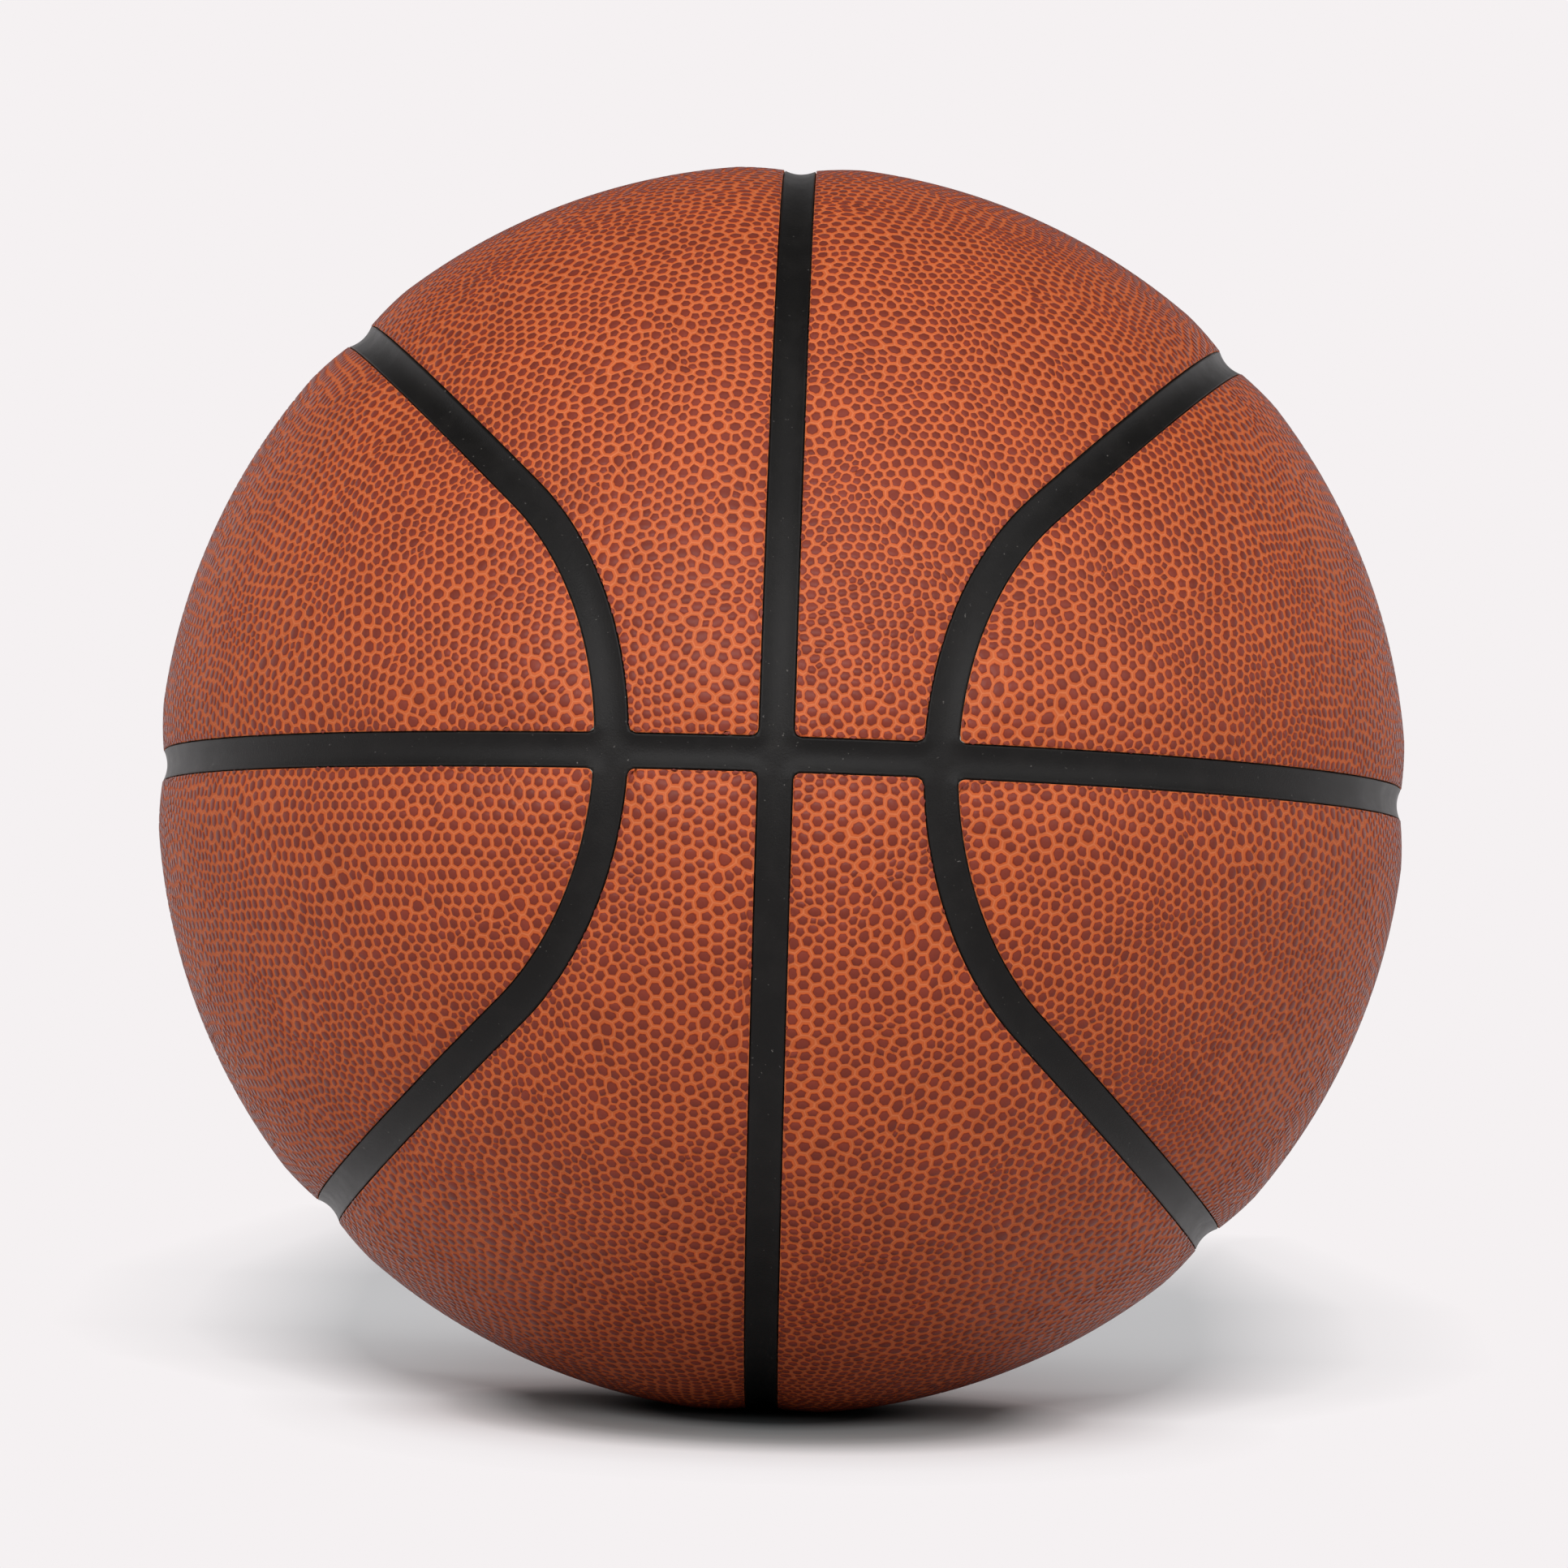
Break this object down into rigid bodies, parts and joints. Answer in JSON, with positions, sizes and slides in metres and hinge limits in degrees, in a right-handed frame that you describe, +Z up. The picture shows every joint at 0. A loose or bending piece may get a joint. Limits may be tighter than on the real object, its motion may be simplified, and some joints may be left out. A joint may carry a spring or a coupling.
{
  "type": "basketball",
  "caption": "Full-size indoor basketball with pebbled bonded cover panels, sunk rubber channels, layered inside and an air valve bored for an inflating needle.",
  "frame": {"origin": "the ball's centre", "axes": "+Z up, +X to the viewer's right, -Y towards the viewer. The horizontal channel lies in z = 0 and the vertical one in x = 0; the loops run round the X axis. The channels cross at the front, -Y, and at the back, +Y."},
  "size_m": [0.2388, 0.2384, 0.2388],
  "materials": {
    "cover_leather": "pebbled synthetic leather, dark red-brown pebbles on orange, satin",
    "channel_rubber": "matte black moulded rubber",
    "foam_backing": "soft foam sheet",
    "carcass_rubber": "moulded rubber",
    "thread": "nylon thread winding",
    "bladder_rubber": "butyl rubber",
    "valve_rubber": "soft black rubber"
  },
  "bodies": {
    "root": {"bladder": "bladder_rubber", "winding": "thread", "carcass": "carcass_rubber", "valve_housing": "valve_rubber", "valve_plug": "valve_rubber", "channel_horizontal": "channel_rubber", "channel_vertical_top": "channel_rubber", "channel_vertical_bottom": "channel_rubber", "channel_loop_left_top": "channel_rubber", "channel_loop_left_bottom": "channel_rubber", "channel_loop_right_top": "channel_rubber", "channel_loop_right_bottom": "channel_rubber", "backing_middle_top_left": "foam_backing", "backing_middle_top_right": "foam_backing", "backing_middle_bottom_left": "foam_backing", "backing_middle_bottom_right": "foam_backing", "backing_side_top_left": "foam_backing", "backing_side_top_right": "foam_backing", "backing_side_bottom_left": "foam_backing", "backing_side_bottom_right": "foam_backing", "cover_middle_top_left": "cover_leather", "cover_middle_top_right": "cover_leather", "cover_middle_bottom_left": "cover_leather", "cover_middle_bottom_right": "cover_leather", "cover_side_top_left": "cover_leather", "cover_side_top_right": "cover_leather", "cover_side_bottom_left": "cover_leather", "cover_side_bottom_right": "cover_leather"}
  },
  "joints": []
}
